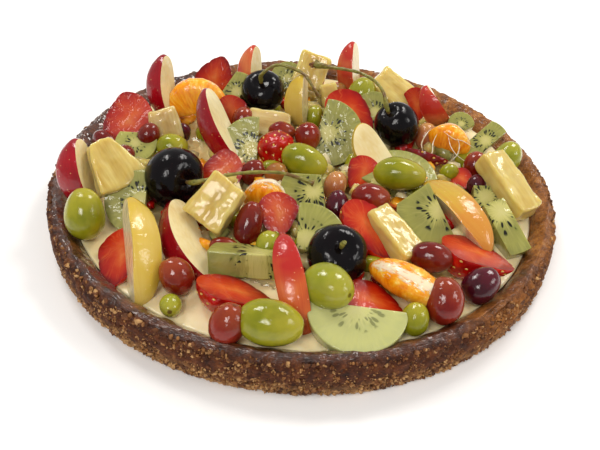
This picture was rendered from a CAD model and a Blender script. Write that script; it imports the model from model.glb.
"""The looks of a fruit vlaai: a bumpy glazed crust, pastry cream, and a glazed heap of cut fruit."""

import math
import random

import bmesh
import bpy
from mathutils import Matrix, Vector, kdtree, noise


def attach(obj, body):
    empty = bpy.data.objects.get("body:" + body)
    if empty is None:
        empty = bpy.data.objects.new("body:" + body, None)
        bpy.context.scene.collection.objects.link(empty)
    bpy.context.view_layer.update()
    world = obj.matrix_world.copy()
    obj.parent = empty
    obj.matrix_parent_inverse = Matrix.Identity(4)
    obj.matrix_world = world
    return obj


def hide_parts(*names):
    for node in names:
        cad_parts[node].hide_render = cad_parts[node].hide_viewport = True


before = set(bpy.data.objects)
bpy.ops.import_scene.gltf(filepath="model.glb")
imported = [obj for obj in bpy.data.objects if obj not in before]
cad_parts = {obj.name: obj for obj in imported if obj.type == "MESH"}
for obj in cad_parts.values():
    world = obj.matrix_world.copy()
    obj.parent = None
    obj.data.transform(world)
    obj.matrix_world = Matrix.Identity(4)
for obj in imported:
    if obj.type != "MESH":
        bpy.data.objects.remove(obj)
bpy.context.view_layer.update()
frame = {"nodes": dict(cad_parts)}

# Lengths are in millimetres here and turn into metres when a mesh is made.
MM = 0.001
CASE_FLOOR = 6.0
CREAM_TOP = 16.0
RIM_BUMP = 0.9
RIM_INSIDE = 116.5
CRUST_REACH = 129.4
CORE_EDGE = 3.0
TIP_PINCH = 0.55
TIP_DROP = 0.2
BERRY_TAPER = 0.42
BERRY_SHOULDER = -0.35
GOLDEN_TURN = 2.39996
STEM_RADIUS = 1.0
STEM_TOP = 55.8
BED_TOP = 18.6
BED_GRIP = 0.8
BED_REACH = 112.0
BED_STEPS = 130
SMALL_SEEDS_FROM = 70
BEVEL = 0.55
HALVED = (((0, 0, 1), 0),)

CASE_SECTION = (
    (125.4, 0.0),
    (127.6, 2.2),
    (129.2, 7.0),
    (130.0, 12.0),
    (129.6, 16.5),
    (128.0, 20.0),
    (125.2, 21.8),
    (122.4, 21.2),
    (119.8, 19.4),
    (117.6, 16.8),
    (115.8, 12.0),
    (114.2, CASE_FLOOR),
)
# The corners of the ground that the small fruit covers, going round from the right.
BED_OUTLINE = (
    (100, 6), (99, 34), (86, 58), (62, 84), (34, 99), (2, 104), (-32, 99), (-60, 88), (-84, 68),
    (-101, 42), (-110, 14), (-103, -12), (-88, -30), (-70, -44), (-52, -56), (-34, -72), (-8, -80),
    (20, -86), (46, -80), (70, -68), (92, -48), (101, -20),
)


# Shapes. Each is made about its own middle, in millimetres.


def turned(at, along, up):
    """The place and turn of a piece: its X runs along, and its Z leans to up."""
    x = Vector(along).normalized()
    z = Vector(up)
    z = (z - x * z.dot(x)).normalized()
    y = z.cross(x)
    place = Matrix((x, y, z)).transposed().to_4x4()
    place.translation = Vector(at)
    return place


def sized(co, x, y, z):
    """A point stretched by so much along each axis."""
    return Vector((co.x * x, co.y * y, co.z * z))


def seed_shift(seed):
    """Where in the noise a piece of this seed lies."""
    return Vector((seed * 3.7, seed * 1.9, seed * 5.3))


def roughen(bm, amount, grain, seed):
    """Moves each point a little, so that no two fruits are alike."""
    shift = seed_shift(seed)
    for v in bm.verts:
        v.co += noise.noise_vector(v.co / grain + shift) * amount


def cut(bm, point, normal, slot=1):
    """Takes away what lies on the side that the normal points to, and closes the cut."""
    everything = bm.verts[:] + bm.edges[:] + bm.faces[:]
    found = bmesh.ops.bisect_plane(
        bm, geom=everything, dist=0.0001, plane_co=Vector(point), plane_no=Vector(normal), clear_outer=True
    )
    edges = [e for e in found["geom_cut"] if isinstance(e, bmesh.types.BMEdge)]
    if edges:
        made = bmesh.ops.holes_fill(bm, edges=edges, sides=0)
        for face in made["faces"]:
            face.material_index = slot


def soften(bm, width=BEVEL):
    """Rounds the edges round the cut faces."""
    sharp = [e for e in bm.edges if len(e.link_faces) == 2 and e.calc_face_angle(0.0) > math.radians(38)]
    if sharp:
        bmesh.ops.bevel(
            bm, geom=sharp, offset=width, segments=3, profile=0.5, affect="EDGES", clamp_overlap=True
        )


def ball(segments, rings):
    """A unit ball with its poles on X."""
    bm = bmesh.new()
    bmesh.ops.create_uvsphere(bm, u_segments=segments, v_segments=rings, radius=1.0)
    bmesh.ops.rotate(bm, verts=bm.verts, cent=(0, 0, 0), matrix=Matrix.Rotation(math.pi / 2, 3, "Y"))
    return bm


def grape(length, width, seed):
    """An oval berry with a small scar at its +X end."""
    bm = ball(36, 28)
    for v in bm.verts:
        swell = 1.0 - 0.05 * v.co.x
        scar = 1.0 - 0.05 * math.exp(-((math.hypot(v.co.y, v.co.z) / 0.16) ** 2)) * (v.co.x > 0)
        v.co = sized(v.co, length / 2 * scar, width / 2 * swell, width / 2 * swell)
    roughen(bm, 0.03 * width, width * 0.7, seed)
    return bm


def cherry(length, width, seed):
    """A heart-shaped berry: a dimple at +X for the stem, and a shallow seam down its +Y side."""
    bm = ball(64, 48)
    for v in bm.verts:
        polar = math.acos(max(-1.0, min(1.0, v.co.x)))
        seam = math.atan2(v.co.z, v.co.y)
        dimple = 1.0 - 0.24 * math.exp(-((polar / 0.42) ** 2))
        groove = 1.0 - 0.04 * math.exp(-((seam / 0.3) ** 2)) * math.sin(polar)
        v.co = v.co * dimple * groove
        v.co = sized(v.co, length / 2, width / 2, width / 2)
    roughen(bm, 0.02 * width, width, seed)
    return bm


def flatten(bm, point, normal):
    """Presses what lies beyond a plane flat onto it, as a cut face with an even mesh."""
    point, normal = Vector(point), Vector(normal).normalized()
    everything = bm.verts[:] + bm.edges[:] + bm.faces[:]
    bmesh.ops.bisect_plane(bm, geom=everything, dist=0.0001, plane_co=point, plane_no=normal)
    for face in bm.faces:
        if (face.calc_center_median() - point).dot(normal) > 0.0001:
            face.material_index = 1
    for v in bm.verts:
        v.co -= normal * max(0.0, (v.co - point).dot(normal))


def apple(length, depth, thick):
    """A slice of apple: poles on X, skin on +Z, and two cut faces that draw together towards -Z."""
    bm = ball(72, 48)
    for v in bm.verts:
        v.co = sized(v.co, length / 2, thick, depth / 2)
    lean = math.atan((thick - CORE_EDGE) / 2 / depth)
    for side in (1, -1):
        flatten(bm, (0, side * (thick + CORE_EDGE) / 4, 0), (0, side * math.cos(lean), -math.sin(lean)))
    soften(bm, 0.3)
    for v in bm.verts:
        share = abs(v.co.x) / (length / 2)
        v.co.y *= 1.0 - TIP_PINCH * share**4
        v.co.z -= TIP_DROP * depth * share**2
    roughen(bm, 0.35, 14.0, 0)
    return bm


def achenes(length, width, seed):
    """The places of a strawberry's seeds: rows that wind round it from base to tip."""
    count = int(length * width * 0.13)
    places = []
    for k in range(count):
        x = 0.96 - 1.86 * (k + 0.5) / count
        turn = k * GOLDEN_TURN + seed
        ring = math.sqrt(max(0.0, 1.0 - x * x))
        taper = 1.0 - BERRY_TAPER * max(x, BERRY_SHOULDER)
        reach = ring * width / 2 * taper
        places.append(Vector((x * length / 2, reach * math.cos(turn), reach * math.sin(turn))))
    return places


SEEDS = []


def strawberry(length, width, cuts, seed):
    """A berry with its tip at +X, pitted round its seeds, and cut by planes."""
    bm = ball(84, 64)
    for v in bm.verts:
        taper = 1.0 - BERRY_TAPER * max(v.co.x, BERRY_SHOULDER)
        v.co = sized(v.co, length / 2, width / 2 * taper, width / 2 * taper)
    places = achenes(length, width, seed)
    tree = kdtree.KDTree(len(places))
    for i, place in enumerate(places):
        tree.insert(place, i)
    tree.balance()
    bm.normal_update()
    moved = []
    for v in bm.verts:
        near = tree.find(v.co)[2]
        moved.append(v.co + v.normal * (0.12 - 0.62 * math.exp(-((near / 0.95) ** 2))))
    for v, place in zip(bm.verts, moved):
        v.co = place
    roughen(bm, 0.03 * width, width * 0.6, seed)
    shift = seed_shift(seed)
    kept = []
    for place in places:
        outward = Vector((0.25 * place.x * width / length, place.y, place.z)).normalized()
        place = place + noise.noise_vector(place / (width * 0.6) + shift) * 0.03 * width
        if all(place.dot(Vector(normal).normalized()) < distance - 0.5 for normal, distance in cuts):
            kept.append((place - outward * 0.32, outward))
    SEEDS[:] = kept
    for normal, distance in cuts:
        cut(bm, Vector(normal).normalized() * distance, normal)
    soften(bm)
    return bm


def kiwi(width, thick, cuts, seed):
    """A round slice facing +Z, cut straight across at angles and distances from its core."""
    bm = bmesh.new()
    bmesh.ops.create_cone(
        bm, cap_ends=True, segments=72, radius1=width / 2 * 0.96, radius2=width / 2, depth=thick
    )
    for face in bm.faces:
        if len(face.verts) > 4:
            face.material_index = 1
    roughen(bm, 0.012 * width, width * 0.5, seed)
    for angle, distance in cuts:
        side = Vector((math.cos(math.radians(angle)), math.sin(math.radians(angle)), 0))
        cut(bm, side * distance, side)
    soften(bm, 0.8)
    return bm


def pineapple(length, width_a, width_b, thick, bow, seed):
    """A chunk of a ring: width_a at its -X end, width_b at +X, bowed outwards there."""
    bm = bmesh.new()
    bmesh.ops.create_cube(bm, size=2.0)
    bmesh.ops.subdivide_edges(bm, edges=bm.edges, cuts=23, use_grid_fill=True)
    edge = 1.5
    for v in bm.verts:
        share = (v.co.x + 1.0) / 2
        half = Vector((length, width_a + (width_b - width_a) * share, thick)) / 2
        whole = sized(v.co, *half)
        inner = Vector([max(edge - half[i], min(half[i] - edge, whole[i])) for i in range(3)])
        out = whole - inner
        if out.length > 0.0:
            whole = inner + out.normalized() * edge
        swell = bow * share * (1.0 - v.co.y**2)
        strand = noise.noise(Vector((whole.x / 14, whole.y / 1.3, whole.z / 1.6 + seed * 7)))
        v.co = whole + Vector((swell, 0, 0)) + out.normalized() * 0.12 * strand
    roughen(bm, 0.8, 8.0, seed)
    roughen(bm, 0.35, 3.2, seed)
    return bm


def mandarin(length, depth, thick, bend, seed):
    """A segment of mandarin: its round back on +Z, its thin edge on -Z, and both ends bent down."""
    bm = ball(56, 56)
    for v in bm.verts:
        lean = 0.45 + 0.55 * (v.co.z + 1.0) / 2
        drop = bend * length * v.co.x**2
        v.co = Vector((v.co.x * length / 2, v.co.y * thick / 2 * lean, v.co.z * depth / 2 - drop))
    roughen(bm, 0.5, 8.0, seed)
    shift = Vector((seed * 5.1, 0, seed))
    for v in bm.verts:
        cell = Vector((v.co.x / 2.2, v.co.y / 2.2, v.co.z / 7.0)) + shift
        v.co += v.co.normalized() * 0.28 * noise.noise(cell)
    return bm


PIECES = (
    ("cherry_left", "cherry", (27, 31, 1), (-63, -22, 31.5), (0.65, -0.65, 0.39), (0, 0.4, 1)),
    ("cherry_back", "cherry", (22, 25, 2), (-26, 64, 34), (-0.1, -0.45, 0.89), (0, 1, 0.4)),
    ("cherry_front", "cherry", (24, 28, 3), (17, -69, 29), (0.15, -0.48, 0.83), (0, 1, 0.4)),
    ("cherry_right", "cherry", (26, 24.5, 4), (49, 38, 33), (-0.5, -0.25, 0.82), (0, 1, 0.3)),
    ("green_grape_left", "green_grape", (25, 19, 1), (-101, -50, 28), (-0.15, 0.6, 0.78), (0, -1, 1)),
    ("green_grape_front", "green_grape", (28, 20, 2), (-10, -112.5, 27.2), (0.99, -0.12, -0.03), (0, 0, 1)),
    ("green_grape_stalk", "lime_grape", (25, 20, 3), (13, -92, 30), (0.72, -0.62, 0.25), (0, 0, 1)),
    ("green_grape_mid", "green_grape", (27, 17, 4), (48, -9, 33), (1, -0.05, -0.05), (0, 0, 1)),
    ("green_grape_centre", "green_grape", (25, 17, 5), (0, 1, 30.5), (0.9, -0.3, -0.28), (0, 0, 1)),
    ("green_grape_back", "lime_grape", (19, 16, 6), (31, 74, 31), (0.3, 0.5, 0.8), (0, 0, 1)),
    ("green_grape_rim", "lime_grape", (18, 15, 7), (108, 21, 27.5), (0.4, 0.5, 0.7), (0, 0, 1)),
    ("green_grape_small", "green_grape", (15, 12.5, 8), (50.5, -101, 23), (0.2, 0.5, 0.8), (0, 0, 1)),
    ("red_grape_front", "red_grape", (19, 15.5, 11), (-27.5, -113, 25.6), (0.3, 0.3, 0.9), (0, 0, 1)),
    ("red_grape_left", "red_grape", (18, 15.5, 12), (-53, -84.5, 24.2), (-0.5, 0.3, 0.8), (0, 0, 1)),
    ("red_grape_rim", "red_grape", (21, 17, 13), (63, -93, 27), (0.05, 0.6, 0.78), (0, 0, 1)),
    ("dark_grape", "dark_grape", (19, 15.5, 14), (81, -79, 24.5), (0.7, 0.45, 0.5), (0, 0, 1)),
    ("red_grape_right", "plum_grape", (20, 14.5, 15), (60, -66, 28), (0.95, -0.2, 0), (0, 0, 1)),
    ("red_grape_mid", "red_grape", (19, 14.5, 16), (33, -29, 32), (1, -0.1, -0.05), (0, 0, 1)),
    ("red_grape_upright", "plum_grape", (23, 13, 17), (-24.5, -50.5, 28), (0.2, 0.6, 0.75), (0, 0, 1)),
    ("red_grape_back", "red_grape", (15, 14, 18), (1, 22.5, 32), (0.3, -0.5, -0.7), (0, 0, 1)),
    ("apple_left", "red_apple", (36, 20, 15), (-108.5, -25, 31.5),
     (0.3, -0.26, -0.92), (-0.4, -0.88, 0.25)),
    ("apple_yellow_front", "yellow_apple", (53, 18, 15), (-71.2, -75, 29.5),
     (0.19, -0.82, -0.53), (0.6, -0.3, 0.74)),
    ("apple_red_low", "red_apple", (46, 20, 14), (-53.5, -60.5, 24.5),
     (0.44, -0.83, -0.34), (-0.72, -0.62, 0.3)),
    ("apple_red_mid", "red_apple", (45, 17, 13), (-46.3, 19, 36),
     (0.48, -0.56, -0.68), (-0.6, -0.75, 0.25)),
    ("apple_back_left", "red_apple", (37, 16, 12), (-81, 53, 38), (0.13, -0.4, -0.9), (-0.58, -0.77, 0.26)),
    ("apple_back_centre", "rosy_apple", (34, 15, 11), (-34, 83, 33.5),
     (0.1, -0.35, -0.93), (-0.6, -0.75, 0.22)),
    ("apple_red_front", "blush_apple", (49, 18, 13.5), (-2, -90, 27.5),
     (0.26, -0.77, -0.58), (-0.1, -0.62, 0.78)),
    ("apple_back_right", "rosy_apple", (35, 15, 11), (24, 88, 36.5),
     (0.12, -0.35, -0.93), (-0.55, -0.78, 0.24)),
    ("apple_right", "rosy_apple", (27, 15, 13), (72, 61, 31.5), (0.6, -0.04, -0.8), (-0.35, -0.85, 0.3)),
    ("apple_orange", "orange_apple", (54, 17, 15), (75, -32, 28.5),
     (0.52, -0.84, -0.1), (0.12, -0.33, 0.94)),
    ("apple_pale", "yellow_apple", (31, 17, 11), (34, 14.5, 29.5),
     (0.62, -0.5, -0.6), (-0.78, -0.4, -0.45)),
    ("apple_yellow_back", "yellow_apple", (32, 14, 12), (-5, 50, 35.5),
     (0.08, -0.12, -0.99), (-0.5, -0.85, 0.06)),
    ("pineapple_left", "pineapple", (24, 12, 27, 10, 2, 1), (-94, -22, 38),
     (0.57, -0.52, -0.64), (0.35, -0.5, 0.79)),
    ("pineapple_big", "pineapple", (24, 18, 21, 10, 0, 2), (-40, -45, 35.5),
     (-0.55, -0.58, -0.6), (0, -0.6, 0.8)),
    ("pineapple_right", "pineapple", (29, 13, 14, 12, 1, 3), (43, -53, 28.5),
     (0.6, -0.76, -0.25), (0.1, -0.1, 1)),
    ("pineapple_back", "pineapple", (20, 18, 18, 10, 0, 4), (1, 87, 36), (0.3, 0.55, 0.75), (0, -0.7, 0.7)),
    ("pineapple_back_right", "pineapple", (22, 17, 21, 10, 3, 5), (47.5, 80.5, 30.8),
     (0.75, -0.35, -0.5), (0.3, -0.5, 0.8)),
    ("pineapple_bar", "pineapple", (36, 15, 16, 11, 1, 6), (103, -8, 30),
     (0.5, -0.78, -0.36), (0.25, -0.25, 0.93)),
    ("mandarin_back", "mandarin", (35, 20, 12, 0.14, 1), (-64, 52, 35),
     (0.86, 0.1, 0.25), (-0.35, 0.42, 0.84)),
    ("mandarin_pith", "pith_mandarin", (22, 19, 14, 0.1, 2), (-17.5, -29, 29),
     (0.95, -0.1, -0.1), (0, 0.1, 1)),
    ("mandarin_front", "pith_mandarin", (44, 23, 20, 0.1, 3), (50, -84, 26),
     (0.86, -0.49, -0.14), (-0.15, -0.45, 0.88)),
    ("mandarin_right", "mandarin", (24, 16, 14, 0.1, 4), (78.5, 33, 29.5),
     (0.9, -0.3, -0.2), (0.1, 0.2, 1)),
    ("strawberry_back_left", "strawberry", (29, 27, HALVED, 1), (-97, 30.5, 30.5),
     (-0.8, -0.3, -0.42), (-0.1, -0.72, 0.68)),
    ("strawberry_left", "strawberry", (31, 24, HALVED, 2), (-80.5, -71, 22),
     (-0.05, -0.9, -0.3), (-0.35, 0.05, 0.95)),
    ("strawberry_chunk", "coral", (22, 18, HALVED, 3), (-11, -44, 30),
     (0.1, -0.75, -0.62), (-0.1, 0.35, 1)),
    ("strawberry_front", "strawberry", (36, 23, HALVED, 4), (-26, -91, 23.5),
     (0.94, -0.3, -0.1), (0.22, 0.3, 0.93)),
    ("strawberry_front_right", "strawberry", (31, 19, HALVED, 5), (33, -91, 22.5),
     (0.86, -0.5, -0.1), (0.1, -0.05, 1)),
    ("strawberry_right", "strawberry", (35, 27, HALVED, 6), (82, -60, 27),
     (0.9, -0.42, -0.12), (0.08, 0.3, 0.95)),
    ("strawberry_long", "strawberry", (36, 20, (((0, 0, 1), 3), ((0, 0.2, -1), 5.5)), 7), (32, -52, 28.5),
     (0.62, -0.6, -0.5), (0.3, -0.5, 0.8)),
    ("strawberry_wedge", "strawberry", (31, 23, HALVED, 8), (24, 51, 31),
     (0.8, -0.45, -0.4), (-0.15, -0.45, 0.88)),
    ("kiwi_slice", "kiwi", (33, 8, ((10, 5), (90, 9)), 1), (5, -26, 30), (1, 0, 0), (0, -0.55, 0.83)),
    ("kiwi_under", "kiwi", (37, 8, ((180, 4), (-100, 6)), 2), (2.5, -59, 27),
     (1, 0, 0), (0.1, -0.45, 0.88)),
    ("kiwi_block", "kiwi", (46, 12, ((-90, 3), (0, 8), (80, 9)), 3), (-18, -73, 23.5),
     (1, 0, 0), (0, 0.35, 0.94)),
    ("kiwi_front", "clear_kiwi", (43, 10, ((90, 1),), 4), (26, -99, 22.5),
     (1, -0.1, 0), (0.05, -0.3, 0.95)),
    ("kiwi_wedge", "kiwi", (40, 10, ((26, 1.5), (128, 13.5)), 5), (65, -33, 28.5),
     (1, 0, 0), (-0.1, -0.6, 0.79)),
    ("kiwi_round", "kiwi", (36, 9, ((165, 6),), 6), (12, 29, 30), (1, 0, 0), (0.15, -0.74, 0.66)),
    ("kiwi_bar", "kiwi", (46, 11, ((25, 5), (205, 6), (115, 6)), 7), (95, -31, 27),
     (1, 0, 0), (0.1, -0.45, 0.88)),
)
SMALL = (
    ("plum_grape", (17, 10.5, 21), (-106, 17, 24.5), (0.8, -0.5, -0.2), (0, 0, 1)),
    ("plum_grape", (12, 10.5, 22), (-94, 7, 24), (0.8, -0.5, 0.1), (0, 0, 1)),
    ("plum_grape", (13, 12, 23), (-83, 18, 30), (0.2, 0.5, 0.8), (0, 0, 1)),
    ("dark_grape", (9, 8, 24), (-67, 29, 27), (1, 0, 0), (0, 0, 1)),
    ("green_grape", (17, 15, 25), (-70, 13, 26), (1, 0, 0), (0, 0, 1)),
    ("red_grape", (13, 12, 26), (-35, 38, 31), (0.2, 0.5, 0.8), (0, 0, 1)),
    ("red_grape", (15, 11, 27), (-13, 27, 31), (1, -0.1, 0), (0, 0, 1)),
    ("plum_grape", (13, 11, 28), (-26, -5, 27), (0.8, 0.1, 0.5), (0, 0, 1)),
    ("brown_grape", (13, 11, 29), (-14, -5, 26), (0.8, 0.1, 0.5), (0, 0, 1)),
    ("pink_grape", (14, 11.5, 30), (16, -14.5, 28), (0.2, 0.6, 0.7), (0, 0, 1)),
    ("dark_grape", (17, 11, 31), (17, -32, 27.5), (0.05, 0.6, 0.78), (0, 0, 1)),
    ("lime_grape", (14, 11.5, 32), (-14.5, -61.5, 25.5), (0.2, 0.6, 0.7), (0, 0, 1)),
    ("red_grape", (14, 9, 33), (-35, -60, 22), (1, 0, 0), (0, 0, 1)),
    ("lime_grape", (12, 9.5, 34), (4, 54, 26), (0.3, 0.5, 0.7), (0, 0, 1)),
    ("brown_grape", (10, 9, 35), (18, 80, 28), (0.3, 0.5, 0.7), (0, 0, 1)),
    ("pink_grape", (14, 12, 36), (66, 40, 26), (0.3, 0.5, 0.7), (0, 0, 1)),
    ("red_grape", (14, 12.5, 37), (90, 13, 27), (0.3, 0.5, 0.7), (0, 0, 1)),
    ("dark_grape", (11, 10, 38), (89, -2, 24.5), (0.3, 0.5, 0.7), (0, 0, 1)),
    ("green_grape", (10, 9, 39), (76, 8, 24.5), (0.9, 0.3, 0), (0, 0, 1)),
    ("coral", (22, 19, HALVED, 21), (-42, -6, 27), (-0.75, -0.1, -0.2), (0.2, -0.6, 0.78)),
    ("strawberry", (26, 22, HALVED, 22), (-55, 82, 31), (0.3, 0.35, 0.8), (-0.1, -0.75, 0.6)),
    ("strawberry", (22, 19, (((0, 0, -1), 0),), 23), (-15, 14, 26.5), (0.3, -0.6, -0.6), (0, -0.7, 0.7)),
    ("dark_berry", (24, 15, HALVED, 24), (65, 22, 25), (0.9, -0.2, -0.1), (0, 0.6, 0.6)),
    ("strawberry", (22, 17, HALVED, 25), (30, -1, 26), (-0.4, -0.7, -0.3), (0.3, -0.5, 0.8)),
    ("dark_berry", (18, 13, HALVED, 26), (47, -25, 25), (0.6, -0.5, 0.1), (0, 0.5, 0.8)),
    ("strawberry", (20, 16, HALVED, 27), (62, 69, 28), (0.1, -0.5, -0.7), (-0.5, -0.6, 0.6)),
    ("coral", (20, 16, HALVED, 28), (-42, 45, 30), (0.1, -0.5, -0.7), (0.2, -0.75, 0.6)),
    ("strawberry", (16, 12, HALVED, 29), (82, 3, 24), (0.5, -0.6, -0.1), (-0.3, -0.2, 0.9)),
    ("strawberry", (16, 11, HALVED, 30), (-112, 8, 24), (0.5, -0.6, 0.3), (0, -0.3, 0.9)),
    ("kiwi", (36, 8, ((0, 2), (100, 15)), 21), (-77, -34, 25), (1, 0, 0), (-0.25, -0.6, 0.76)),
    ("kiwi", (34, 8, ((0, 3),), 22), (-28, 14.5, 26.5), (1, 0, 0), (0.1, -0.72, 0.7)),
    ("kiwi", (24, 8, ((-30, 3), (150, 7)), 23), (-41, 67, 29.5), (1, 0, 0), (0.3, -0.6, 0.7)),
    ("kiwi", (40, 7, ((250, 9),), 24), (49, 0, 22), (1, 0, 0), (0.1, -0.2, 0.97)),
    ("kiwi", (26, 8, ((-45, 4), (135, 6)), 25), (98, 37, 25), (1, 0, 0), (0.3, -0.5, 0.8)),
    ("kiwi", (24, 8, ((0, 5),), 26), (38, 60, 26), (1, 0, 0), (-0.2, -0.7, 0.7)),
    ("kiwi", (34, 8, ((180, 6), (90, 6)), 27), (92, -12, 22.5), (1, 0, 0), (0.1, -0.5, 0.86)),
    ("pale_kiwi", (22, 8, ((90, 6),), 28), (-89, 14, 25), (1, 0, 0), (-0.1, -0.5, 0.86)),
    ("kiwi", (20, 8, ((-60, 5),), 29), (-13, 88, 29), (1, 0, 0), (0, -0.7, 0.7)),
    ("kiwi", (15, 7, ((-60, 4),), 30), (87, 55, 24), (1, 0, 0), (0.3, -0.5, 0.8)),
    ("pale_pineapple", (18, 15, 17, 10, 1, 21), (-76, 28, 30), (0.3, -0.5, -0.8), (0.1, -0.7, 0.7)),
    ("pale_pineapple", (22, 15, 17, 10, 1, 22), (-21.5, 37, 27.5), (0.95, -0.1, -0.1), (0, -0.6, 0.8)),
    ("pineapple", (13, 10, 10, 9, 0, 23), (12, 76, 27), (0.3, -0.5, -0.8), (0.1, -0.7, 0.7)),
)

STEMS = {
    "cherry_left": (
        (-57, -28, 34), (-51.5, -33.5, 38), (-42, -33.6, 41.6), (-34, -32, 43), (-23, -29, 43),
        (-11, -27, 42), (-1, -28, 40), (5, -29, 38.4),
    ),
    "cherry_back": (
        (-26.3, 62.5, 37), (-27, 58, 46), (-25, 55, 51), (-19, 58, 54), (-12, 57, 54), (-3, 53, 52),
        (3, 48, 46), (6, 47, 42),
    ),
    "cherry_front": ((18, -73, 35.5), (18.6, -75, 40), (19.4, -76, 42)),
    "cherry_right": (
        (44, 36, 40), (42, 36, 45), (40, 39, 51), (36, 45, 54), (30, 51, 55), (23, 57, 54),
        (13, 63, 52), (3, 69, 50),
    ),
}
KNOBS = {"cherry_left": 0.6, "cherry_back": 0.4, "cherry_front": 0.0, "cherry_right": 1.3}


# Materials.


def tone(red, green, blue):
    """A colour given as the eye sees it, from 0 to 255, in the shader's own scale."""
    shares = (red / 255, green / 255, blue / 255)
    return tuple(c / 12.92 if c < 0.043 else ((c + 0.055) / 1.055) ** 2.4 for c in shares)


class Shader:
    """A Principled material and short ways to add nodes to it.

    Colours are as the eye sees them, from 0 to 255. frame is the place and turn of the piece.
    """

    frame = Matrix.Identity(4)

    def __init__(self, name, roughness=0.3, coat=0.0, coat_roughness=0.04, ior=1.4):
        self.made = bpy.data.materials.new(name)
        self.made.use_nodes = True
        self.tree = self.made.node_tree
        self.out = self.tree.nodes["Principled BSDF"]
        self.set("Roughness", roughness)
        self.set("IOR", ior)
        self.set("Specular IOR Level", 0.3)
        self.set("Coat Weight", coat)
        self.set("Coat Roughness", coat_roughness)
        self.set("Coat IOR", 1.33)
        whole = self.put("TexCoord").outputs["Object"]
        turn = Shader.frame.to_euler()
        values = {"Vector": whole, "Location": Shader.frame.translation * MM, "Rotation": turn}
        self.place = self.put("Mapping", values, vector_type="TEXTURE").outputs[0]
        self.xyz = self.put("SeparateXYZ", {0: self.place}).outputs

    def put(self, kind, inputs=None, **settings):
        node = self.tree.nodes.new("ShaderNode" + kind)
        for key, value in settings.items():
            setattr(node, key, value)
        for key, value in (inputs or {}).items():
            if isinstance(value, bpy.types.NodeSocket):
                self.tree.links.new(value, node.inputs[key])
            else:
                node.inputs[key].default_value = value
        return node

    def set(self, key, value):
        if isinstance(value, bpy.types.NodeSocket):
            self.tree.links.new(value, self.out.inputs[key])
        else:
            self.out.inputs[key].default_value = value

    def math(self, operation, first, second=0.0):
        return self.put("Math", {0: first, 1: second}, operation=operation).outputs[0]

    def plus(self, first, second):
        return self.math("ADD", first, second)

    def minus(self, first, second):
        return self.math("SUBTRACT", first, second)

    def times(self, first, second):
        return self.math("MULTIPLY", first, second)

    def over(self, first, second):
        return self.math("DIVIDE", first, second)

    def reach(self, *sides):
        """The length of a line from its lengths along each axis."""
        squares = [self.times(side, side) for side in sides]
        total = squares[0]
        for square in squares[1:]:
            total = self.plus(total, square)
        return self.math("SQRT", total)

    def join(self, x, y, z):
        return self.put("CombineXYZ", {0: x, 1: y, 2: z}).outputs[0]

    def shifted(self, x, y, z=0.0):
        """The piece's own coordinates, moved by so much."""
        return self.put("Mapping", {"Vector": self.place, "Location": (x, y, z)}).outputs[0]

    def stretched(self, x, y, z):
        """The piece's own coordinates, scaled by so much along each of its axes."""
        return self.put("Mapping", {"Vector": self.place, "Scale": (x, y, z)}).outputs[0]

    def noise(self, vector, scale=1.0, detail=3.0, roughness=0.5):
        values = {"Vector": vector, "Scale": scale, "Detail": detail, "Roughness": roughness}
        return self.put("TexNoise", values).outputs[0]

    def grain(self, scale, detail=3.0, roughness=0.5):
        """Noise at the piece's own coordinates."""
        return self.noise(self.place, scale, detail, roughness)

    def cells(self, vector, scale):
        return self.put("TexVoronoi", {"Vector": vector, "Scale": scale}).outputs["Distance"]

    def ramp(self, value, *stops):
        """Runs through colours or numbers: each stop is a place and what is there."""
        node = self.put("ValToRGB", {0: value})
        line = node.color_ramp.elements
        while len(line) < len(stops):
            line.new(0.5)
        for element, (at, what) in zip(line, stops):
            element.position = at
            element.color = (*tone(*what), 1.0) if isinstance(what, tuple) else (what, what, what, 1.0)
        return node.outputs[0]

    def mix(self, share, first, second):
        node = self.tree.nodes.new("ShaderNodeMix")
        node.data_type = "RGBA"
        for key, value in ((0, share), (6, first), (7, second)):
            if isinstance(value, bpy.types.NodeSocket):
                self.tree.links.new(value, node.inputs[key])
            else:
                node.inputs[key].default_value = (*tone(*value), 1.0) if isinstance(value, tuple) else value
        return node.outputs[2]

    def bump(self, height, strength, distance):
        values = {"Height": height, "Strength": strength, "Distance": distance}
        return self.put("Bump", values).outputs[0]

    def soft(self, weight, scale, radius=(1.0, 0.6, 0.3)):
        self.set("Subsurface Weight", weight)
        self.set("Subsurface Scale", scale)
        self.out.inputs["Subsurface Radius"].default_value = radius

    def wobble(self, scale=240.0, distance=0.0022):
        """An uneven wet glaze over the whole."""
        height = self.grain(scale, 2.0)
        self.set("Coat Normal", self.bump(height, 0.35, distance))


def around(s, turns):
    """A direction round the X axis as a point on a circle, with the place along X as the third number."""
    x, y, z = s.xyz
    far = s.math("MAXIMUM", s.reach(y, z), 0.0001)
    return s.times(s.over(y, far), turns), s.times(s.over(z, far), turns), x


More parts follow.
